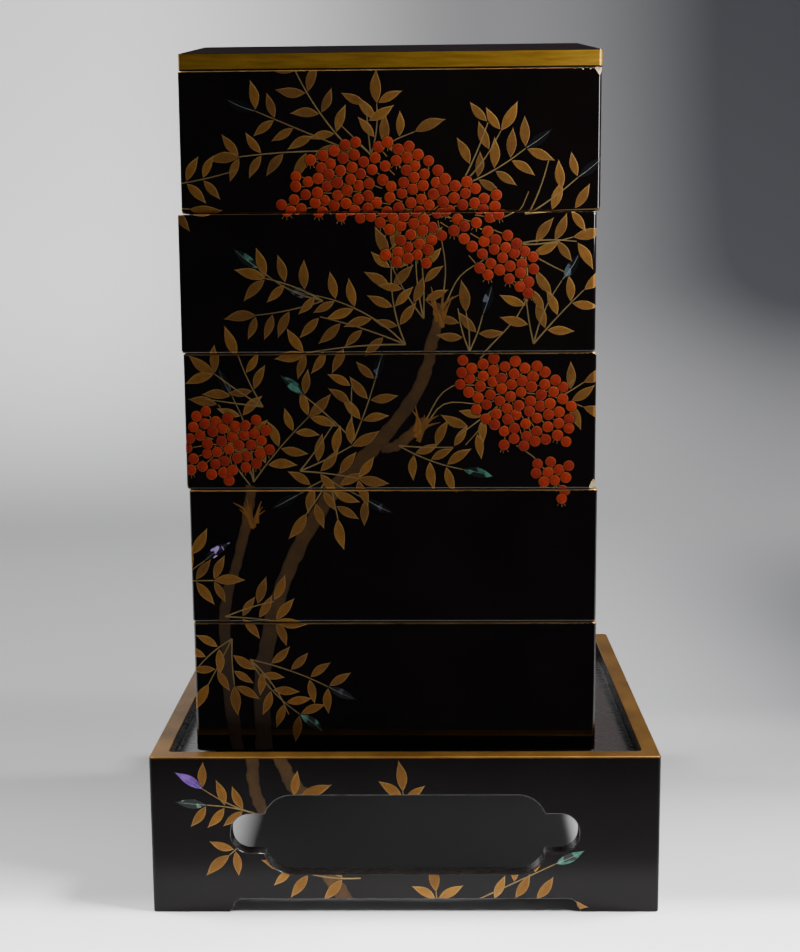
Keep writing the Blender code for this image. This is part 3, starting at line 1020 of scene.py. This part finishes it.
def addCluster(picture, blob):
    # Berries packed loosely inside an outline, in slanting rows that wander, on thin stalks
    across, up = [s for s, z in blob], [z for s, z in blob]
    reach = max(max(across) - min(across), max(up) - min(up))
    middle = Vector((sum(across) / len(blob), sum(up) / len(blob)))
    pitch, jitter = berryForm["pitch"], berryForm["jitter"]
    slant = Matrix.Rotation(math.radians(random.uniform(12.0, 26.0)), 2)
    spots = []
    count = int(reach / pitch) + 2
    for row in range(-count, count + 1):
        for place in range(-count, count + 1):
            even = Vector(((place + 0.5 * (row % 2)) * pitch, row * pitch * 0.87))
            wander = Vector((random.uniform(-jitter, jitter), random.uniform(-jitter, jitter)))
            spot = middle + slant @ even + wander
            if within(blob, *spot) and random.random() > 0.05:
                spots.append(spot)
    for spot in spots:
        towards = spot + (middle - spot).normalized() * 8.0 + Vector((0.0, 1.5))
        addStroke(picture, [spot, towards], 0.5, 0.6, tone=0.4)
    random.shuffle(spots)
    for spot in spots:
        free = not any(abs(spot.x - other.x) < 4.5 and 2.0 < spot.y - other.y < 9.5 for other in spots)
        addBerry(picture, spot.x, spot.y, 3 if free and random.random() < 0.6 else 0)


def addLeafApart(picture, base, tip, shell=None):
    # Leaflets that would lie on an earlier one are left out, so foliage stays airy
    middle = (Vector(base) + Vector(tip)) / 2
    if not any((shape["leaf"] - middle).length < leafForm["apart"] for shape in picture if "leaf" in shape):
        addLeaf(picture, base, tip, shell)
        picture[-1]["leaf"] = middle


def addSpray(picture, foot, heading, length, pairs, size, curl=0.0, shell=None):
    # A stem with opposite leaflets and one at its end; heading and curl are in degrees
    spots, way = [Vector(foot)], math.radians(heading)
    for step in range(pairs + 1):
        way += math.radians(curl)
        spots.append(spots[-1] + Vector((math.cos(way), math.sin(way))) * length / (pairs + 1))
    addStem(picture, spots, 0.9, 0.6)
    tip = spots[-1] + Vector((math.cos(way), math.sin(way))) * size * 1.1
    addLeafApart(picture, spots[-1], tip, shell)
    for k, spot in enumerate(spots[1:]):
        ahead = spots[k + 1] - spots[k]
        forward = math.atan2(ahead.y, ahead.x)
        for side in (-1, 1):
            turn = forward + side * math.radians(random.uniform(48, 66))
            reach = size * random.uniform(0.86, 1.08)
            tip = spot + Vector((math.cos(turn), math.sin(turn))) * reach
            addLeafApart(picture, spot + (tip - spot) * 0.05, tip)


rubbed = {"places": 34, "length": (1.0, 7.0), "height": (0.08, 0.30),
          "nearCorner": (98.0, 102.5, 106.0, 109.0), "cornerLength": (2.0, 3.2)}


def rimLine(plan, low, high, name):
    # Gold over the tray's rim, rubbed away in short lengths and near the front right corner
    shapes = []
    addShape(shapes, sheetOutline(plan, low, high), "rimGold", 0.0, 0.5)
    worn = random.Random(name)
    for _ in range(rubbed["places"]):
        s, run = worn.uniform(plan["start"] + 8.0, plan["end"] - 20.0), worn.uniform(*rubbed["length"])
        up = worn.uniform(*rubbed["height"])
        addShape(shapes, [(s, low - 0.05), (s + run, low - 0.05), (s + run * 0.8, low + up),
                          (s + run * 0.2, low + up * 0.8)], "lacquer", 0.0)
    for s in rubbed["nearCorner"]:
        run, up = worn.uniform(*rubbed["cornerLength"]), 0.5 * (s - 90.0) / 20.0
        addShape(shapes, [(s, low - 0.05), (s + run, low - 0.05), (s + run, low + up),
                          (s + 0.6, low + up)], "lacquer", 0.0)
    return shapes


# The nandina. Its broad areas are set, in millimetres: the course of the limbs and stalks, where
# foliage spreads and where berries hang. Every leaflet and berry in them is made up afresh

limbs = {
    # s, z, width and tone
    "left": [(-90, 85, 7.0, 0.10), (-95, 130, 7.0, 0.18), (-95, 170, 6.0, 0.42), (-85, 205, 6.0, 0.58),
             (-78, 240, 5.5, 0.88)],
    "right": [(-75, 85, 10.0, 0.10), (-75, 130, 9.5, 0.18), (-65, 175, 8.5, 0.50), (-50, 210, 8.5, 0.60),
              (-30, 240, 8.0, 0.65), (-5, 265, 8.0, 0.60), (15, 292, 7.0, 0.50), (25, 320, 6.5, 0.65),
              (30, 340, 6.0, 0.80)],
    "spur": [(-5, 260, 5.0, 0.50), (5, 263, 6.0, 0.65), (20, 276, 6.0, 0.90)],
}

foliage = [
    # foot s and z, heading, spread, reach, and the shell leaf or none at each spray's end
    (-92, 152, 240, 90, 44, ("shell", None, None)),
    (-82, 140, 325, 90, 56, ("tealShell", None, "shell")),
    (-122, 185, 40, 90, 34, (None, "pinkShell", None)),
    (-95, 165, 15, 60, 46, (None, "greenShell")),
    (-35, 244, 265, 150, 36, ("shell", None, None, "shell")),
    (-76, 242, 80, 80, 66, (None, "shell", None)),
    (-70, 284, 145, 80, 46, (None, None, "shell")),
    (-20, 265, 100, 100, 48, ("shell", None, "tealShell")),
    (-50, 248, 20, 80, 46, (None, None, "shell")),
    (5, 262, 340, 60, 48, ("tealShell", None)),
    (92, 288, 20, 110, 30, (None, None, None)),
    (60, 284, 225, 50, 42, (None, None)),
    (10, 318, 145, 90, 68, (None, "shell", "pinkShell", None)),
    (-35, 342, 175, 70, 50, (None, "tealShell", None)),
    (20, 332, 105, 70, 50, (None, "shell", None)),
    (45, 314, 85, 90, 38, ("shell", None, None)),
    (80, 318, 80, 90, 50, (None, "shell", None)),
    (70, 372, 350, 80, 48, (None, None, None)),
    (-20, 422, 155, 60, 72, ("pinkShell", "shell", None)),
    (-120, 405, 5, 20, 54, ("shell",)),
    (-120, 392, 15, 20, 26, (None,)),
    (-10, 420, 85, 120, 42, (None, None, None, "glintShell")),
    (38, 403, 40, 60, 52, ("shell", None, None)),
    (75, 388, 35, 90, 48, (None, "shell", None)),
]

stalks = [
    [(30, 340), (32, 360), (28, 385)],
    [(32, 340), (40, 355), (55, 365)],
    [(18, 272), (30, 292), (50, 300)],
    [(18, 270), (30, 285), (50, 285)],
    [(70, 262), (80, 255), (88, 245)],
    [(-78, 240), (-85, 250), (-90, 262)],
    [(50, 310), (75, 340), (75, 372)],
    [(60, 385), (70, 390), (75, 400)],
]


def addFan(picture, row):
    # Sprays fanned from one foot, each with its own length, bend and leaves
    s, z, heading, spread, reach, shells = row
    for k, shell in enumerate(shells):
        turn = heading + spread * ((k + 0.5) / len(shells) - 0.5) + random.uniform(-6, 6)
        length = max(9.0, (reach - 15.0) * random.uniform(0.9, 1.15))
        addSpray(picture, (s, z), turn, length, max(1, round(length / 15)), leafForm["length"],
                 random.uniform(-8, 8), shell)


def addSheath(picture, foot, heading, reach):
    # Old leaf bases clasping the end of a limb: pointed scales, each edged by a fine brown line
    for k in range(8):
        lean = (k - 3.5) * 7 + random.uniform(-3, 3)
        start, path = Vector(foot) + Vector((random.uniform(-2, 2), random.uniform(0, reach * 0.4))), []
        for step in range(3):
            way = math.radians(heading + lean * (0.4 + 0.6 * step))
            path.append(tuple(start + Vector((math.cos(way), math.sin(way))) * reach * 0.36 * step))
        addStroke(picture, path, 2.9, 0.35, "vein", 0.02)
        addStroke(picture, path, 2.3, 0.15, "leafGold", 0.06, random.uniform(0.2, 0.8))


def paintFront(picture):
    for name in ("left", "right", "spur"):
        addTrunk(picture, limbs[name], 10)
    for path in stalks:
        addStem(picture, path)
    for row in foliage:
        addFan(picture, row)
    for foot, heading, reach in (((-78, 215), 95, 18), ((28, 326), 85, 22), ((15, 264), 65, 20)):
        addSheath(picture, foot, heading, reach)


clusters = {
    "upperFront": [(-60, 390), (-55, 410), (-30, 427), (10, 427), (35, 410), (60, 400), (65, 385),
                   (85, 360), (80, 343), (45, 360), (35, 382), (25, 362), (0, 362), (-5, 385)],
    "middleFront": [(35, 300), (40, 312), (80, 308), (100, 295), (100, 262), (65, 260), (45, 285)],
    "middleTail": [(80, 240), (82, 254), (102, 254), (100, 236), (92, 228)],
    "leftFront": [(-114, 250), (-114, 280), (-85, 284), (-62, 272), (-65, 256), (-88, 238), (-100, 242)],
    "rightSide": [(150, 372), (156, 392), (176, 398), (192, 390), (200, 372), (196, 352), (184, 338),
                  (172, 344), (160, 352)],
    "leftSide": [(-196, 236), (-200, 256), (-186, 268), (-168, 264), (-156, 250), (-160, 232), (-172, 218),
                 (-186, 224)],
}


branches = {
    # A spray has its foot, heading, length, pairs of leaflets, curl and shell leaf
    "right": {
        "stems": [
            [(128, 299), (142, 306), (156, 322), (166, 344), (172, 372)],
            [(142, 306), (160, 306), (176, 312)],
            [(156, 322), (150, 336), (138, 350)],
            [(166, 344), (184, 330), (204, 332)],
            [(115, 404), (130, 408), (146, 420), (158, 436)],
            [(172, 380), (186, 404), (204, 418)],
        ],
        "sprays": [
            ((176, 312), 20, 24, 2, 10, "shell"), ((138, 350), 140, 20, 2, -12, None),
            ((204, 332), 10, 26, 2, 14, "tealShell"), ((158, 436), 50, 16, 1, 8, None),
            ((204, 418), 30, 26, 2, -10, "shell"), ((130, 408), -35, 16, 1, 10, None),
            ((146, 420), 120, 16, 1, 0, "tealShell"), ((160, 306), -50, 18, 1, 12, None),
        ],
    },
    "left": {
        "stems": [
            [(-114, 158), (-128, 162), (-144, 172), (-156, 190), (-164, 214), (-172, 236)],
            [(-144, 172), (-160, 168), (-178, 172)],
            [(-164, 214), (-182, 208), (-200, 212)],
            [(-120, 404), (-134, 398), (-148, 400)],
            [(-172, 250), (-186, 276), (-204, 290)],
        ],
        "sprays": [
            ((-178, 172), 175, 24, 2, -10, "shell"), ((-200, 212), 170, 26, 2, -12, None),
            ((-148, 400), 165, 26, 2, 10, "shell"), ((-134, 398), -100, 16, 1, -10, None),
            ((-204, 290), 150, 26, 2, 10, "tealShell"), ((-156, 190), 60, 20, 1, 12, None),
            ((-128, 162), -80, 16, 1, 0, None), ((-128, 162), 75, 16, 1, 10, None),
        ],
    },
}


def paintSides(picture):
    # Quieter than the front: a branch from each front corner, and one spray on the back
    for side in ("right", "left"):
        for path in branches[side]["stems"]:
            addStem(picture, path)
        for foot, heading, length, pairs, curl, shell in branches[side]["sprays"]:
            addSpray(picture, foot, heading, length, pairs, leafForm["length"], curl, shell)
    addSpray(picture, (462, 262), 158, 44, 3, leafForm["length"], 6, "shell")
    addCluster(picture, clusters["rightSide"])
    addCluster(picture, clusters["leftSide"])


nicks = [
    # s, z and size
    (-113.6, 390.6, 1.1), (-113.9, 388.2, 1.0), (113.4, 312.4, 1.2), (112.6, 388.0, 0.9),
    (103.5, 464.2, 1.3), (99.0, 464.4, 0.9), (107.6, 464.1, 1.0), (-113.5, 239.4, 1.2),
    (-114.0, 236.2, 0.9), (-113.2, 314.6, 1.2), (-114.2, 160.6, 1.2), (-113.6, 163.2, 0.8),
    (113.0, 161.0, 0.8), (218.0, 388.4, 1.0), (-205.0, 312.6, 1.1), (326.0, 464.0, 1.2),
    (547.0, 236.4, 1.2), (430.0, 312.8, 0.9),
]


def paintNicks(picture):
    # Small knocks at the trays' edges, down to the pale ground
    for s, z, size in nicks:
        turns = sorted(random.uniform(0.0, 2 * math.pi) for _ in range(7))
        addShape(picture, [(s + size * random.uniform(0.35, 0.75) * math.cos(a),
                            z + size * random.uniform(0.25, 0.6) * math.sin(a)) for a in turns], "wood", 0.0)


def paintTrays():
    picture = []
    paintSides(picture)
    paintFront(picture)
    for name in ("leftFront", "middleFront", "middleTail", "upperFront"):
        addCluster(picture, clusters[name])
    paintNicks(picture)
    return picture


def paintStand():
    picture = []
    addTrunk(picture, [(-85, 92, 7.0, 0.70), (-83, 70, 7.0, 0.65), (-75, 50, 6.0, 0.60)], 8)
    addTrunk(picture, [(-70, 92, 7.0, 0.75), (-62, 75, 8.5, 0.65), (-48, 62, 8.0, 0.60)], 8)
    addTrunk(picture, [(-45, 26, 9.0, 0.65), (-33, 6, 9.0, 0.65)], 8)
    for row in ((-80, 57, 165, 36, 48, ("paleShell", "violetShell")), (-92, 40, 225, 40, 24, (None,)),
                (-25, 20, 182, 20, 50, (None,)), (-66, 66, 25, 30, 24, (None,)),
                (0, 62, 90, 30, 18, (None,)), (18, 3, 85, 30, 22, (None,)),
                (38, 6, 22, 24, 62, (None, "tealShell"))):
        addFan(picture, row)
    for foot, heading, length, curl in (((206, 78), 200, 20, 10), ((-186, 14), 20, 20, 8),
                                        ((236, 14), 160, 22, -8)):
        addSpray(picture, foot, heading, length, 1, 15.0, curl)
    return picture


def paintLidTop():
    # One spray lying across a front corner of the lid
    picture = []
    addStroke(picture, [(-74, -56), (-52, -44), (-28, -38), (-6, -22)], 1.1, 0.8)
    addSpray(picture, (-6, -22), 30, 24, 2, leafForm["length"], 8, "tealShell")
    addSpray(picture, (-52, -44), 75, 22, 1, 16.0, -10)
    addSpray(picture, (-28, -38), -25, 22, 2, 16.0, 8)
    addCluster(picture, [(-62, -74), (-62, -56), (-48, -54), (-36, -58), (-36, -72), (-48, -80)])
    return picture


# Stage, camera and light

photoView = {"place": (0.0135, -0.9711, 0.3779), "yaw": -0.0176, "pitch": 0.1532, "roll": -0.0075,
             "lens": 59.30, "sensor": 36.0}


def placeCamera():
    yaw, pitch, roll = photoView["yaw"], photoView["pitch"], photoView["roll"]
    ahead = Vector((math.sin(yaw) * math.cos(pitch), math.cos(yaw) * math.cos(pitch), -math.sin(pitch)))
    level = Vector((math.cos(yaw), -math.sin(yaw), 0.0))
    rise = level.cross(ahead)
    right = level * math.cos(roll) + rise * math.sin(roll)
    up = rise * math.cos(roll) - level * math.sin(roll)
    data = bpy.data.cameras.new("photoCamera")
    data.lens = photoView["lens"]
    data.sensor_width = photoView["sensor"]
    data.clip_start = 0.05
    camera = bpy.data.objects.new("photoCamera", data)
    bpy.context.scene.collection.objects.link(camera)
    turned = Matrix((right, up, -ahead)).transposed().to_4x4()
    camera.matrix_world = Matrix.Translation(photoView["place"]) @ turned
    bpy.context.scene.camera = camera


sweep = {"front": -0.37, "wall": 1.9, "bend": 0.8, "side": 3.2, "top": 3.0, "steps": 24}
paperShade = {
    # painted shade on the paper, standing in for light falling off and for the box's shadow on the floor:
    # from, to, shade before and shade after, along x, y or z
    "nearFloor": (-0.142, -0.106, 0.0, 0.37),
    "farFloor": (-0.13, 0.27, 0.0, 0.445),
    "rightFloor": (0.12, 0.50, 0.0, 1.0),
    "farther": (0.45, 1.20, 0.22, 0.05),
    "behindBox": (0.06, 0.22, 0.0, 1.0),
    "besideBox": (0.08, 0.18, 1.0, 1.26),
    "leftWall": (-0.60, 0.12, 0.20, 0.865),
    "rightWall": (0.14, 0.66, 0.0, 0.150),
    "rightOfMiddle": (0.05, 0.25, 0.0, 1.0),
    "lowWall": (0.02, 0.32, -0.08, 0.008),
    "rising": (0.95, 2.15, 0.0, 1.0),
    "frontEdge": (-0.205, -0.186, 0.72, 0.0),
    "high": (0.90, 1.20, 0.0, 1.0),
}


def makeSweep():
    # Pale paper laid flat and curving up behind, with painted shade in its colour: a painted shadow
    # behind the box's front line and beside the box, greyer up and to the right and at its front edge
    run = [(sweep["front"], 0.0)]
    for step in range(sweep["steps"] + 1):
        turn = math.pi / 2 * step / sweep["steps"]
        run.append((sweep["wall"] - sweep["bend"] * (1 - math.sin(turn)),
                    sweep["bend"] * (1 - math.cos(turn))))
    run.append((sweep["wall"], sweep["top"]))
    places = [(x, y, z) for y, z in run for x in (-sweep["side"], sweep["side"])]
    faces = [(2 * i, 2 * i + 1, 2 * i + 3, 2 * i + 2) for i in range(len(run) - 1)]
    mesh = bpy.data.meshes.new("paperSweep")
    mesh.from_pydata(places, [], faces)
    mesh.shade_smooth()
    paper = bpy.data.objects.new("paperSweep", mesh)
    bpy.context.scene.collection.objects.link(paper)
    material, tree, shader, place = newFinish("paperWithPaintedShade")
    parts = addNode(tree, "ShaderNodeSeparateXYZ", links={"Vector": place}).outputs
    x, y, z = parts["X"], parts["Y"], parts["Z"]

    def shadeOver(value, name):
        return ramp(tree, value, *paperShade[name])

    # painted shadow and falloff on the floor: darker from the box's front line back, and beside the box
    floor = combine(tree, "ADD", shadeOver(y, "nearFloor"), shadeOver(y, "farFloor"))
    further = addNode(tree, "ShaderNodeMath", {"operation": "MULTIPLY_ADD", 2: 1.0},
                      {0: shadeOver(x, "rightFloor"), 1: shadeOver(y, "farther")})
    atRight = mixValues(tree, shadeOver(y, "behindBox"), shadeOver(x, "besideBox"), further.outputs[0])
    wall = combine(tree, "ADD", shadeOver(x, "leftWall"), shadeOver(x, "rightWall"))
    upRight = combine(tree, "MULTIPLY", shadeOver(x, "rightOfMiddle"), shadeOver(z, "lowWall"))
    shade = mixValues(tree, shadeOver(combine(tree, "ADD", y, z), "rising"),
                      combine(tree, "MULTIPLY", floor, atRight), combine(tree, "ADD", wall, upRight))
    shade = combine(tree, "MAXIMUM", shade, shadeOver(y, "frontEdge"))
    shade = combine(tree, "MAXIMUM", shade, shadeOver(z, "high"))
    # the painted shade darkens the paper's colour from pale towards dark grey
    tree.links.new(blendColours(tree, shade, "#f6f6f6", "#2b2b30"), shader.inputs["Base Color"])
    shader.inputs["Roughness"].default_value = 0.9
    mesh.materials.append(material)


softboxes = [
    # name, place, aim, size and watts
    ("rightSoftbox", (0.98, -0.12, 1.80), (0.0, 0.0, 0.20), (0.8, 0.35), 122.0),
    ("leftSoftbox", (-1.10, 0.10, 1.90), (0.0, 0.0, 0.20), (0.4, 0.5), 58.0),
    ("rightStrip", (0.29, -0.27, 0.50), (0.08, -0.10, 0.39), (0.05, 0.28), 1.40),
]


def addSoftbox(name, place, aim, size, watts):
    data = bpy.data.lights.new(name, "AREA")
    data.shape = "RECTANGLE"
    data.size, data.size_y = size
    data.energy = watts
    light = bpy.data.objects.new(name, data)
    bpy.context.scene.collection.objects.link(light)
    light.location = place
    light.rotation_euler = (Vector(aim) - Vector(place)).to_track_quat("-Z", "Y").to_euler()


def lightRoom():
    # Soft pale room light, darker in front of the object so that the lacquer reads black
    world = bpy.data.worlds.new("studio")
    bpy.context.scene.world = world
    world.use_nodes = True
    tree = world.node_tree
    back = tree.nodes["Background"]
    way = addNode(tree, "ShaderNodeTexCoord").outputs["Generated"]
    parts = addNode(tree, "ShaderNodeSeparateXYZ", links={"Vector": way})
    behind = ramp(tree, parts.outputs["Y"], -0.35, 0.35, 0.03, 0.46)
    above = ramp(tree, parts.outputs["Z"], 0.75, 0.99, 0.0, 0.42)
    both = combine(tree, "MAXIMUM", behind, above)
    seen = addNode(tree, "ShaderNodeLightPath").outputs["Is Camera Ray"]
    strength = addNode(tree, "ShaderNodeMix", {"data_type": "FLOAT", 3: 0.55}, {0: seen, 2: both})
    tree.links.new(strength.outputs[0], back.inputs["Strength"])
    back.inputs["Color"].default_value = linear("#f4f4f6")


random.seed(7)
trayPicture, standPicture, lidPicture = paintTrays(), paintStand(), paintLidTop()
print("shapes painted:", len(trayPicture) + len(standPicture) + len(lidPicture))
makeStand("stand", standPicture)
for trayName in ("tier_5", "tier_4", "tier_3", "tier_2", "tier_1"):
    makeTray(trayName, trayPicture)
makeLid("lid", lidPicture)
makeSweep()
placeCamera()
lightRoom()
for softbox in softboxes:
    addSoftbox(*softbox)
print("stage, camera and light ready")
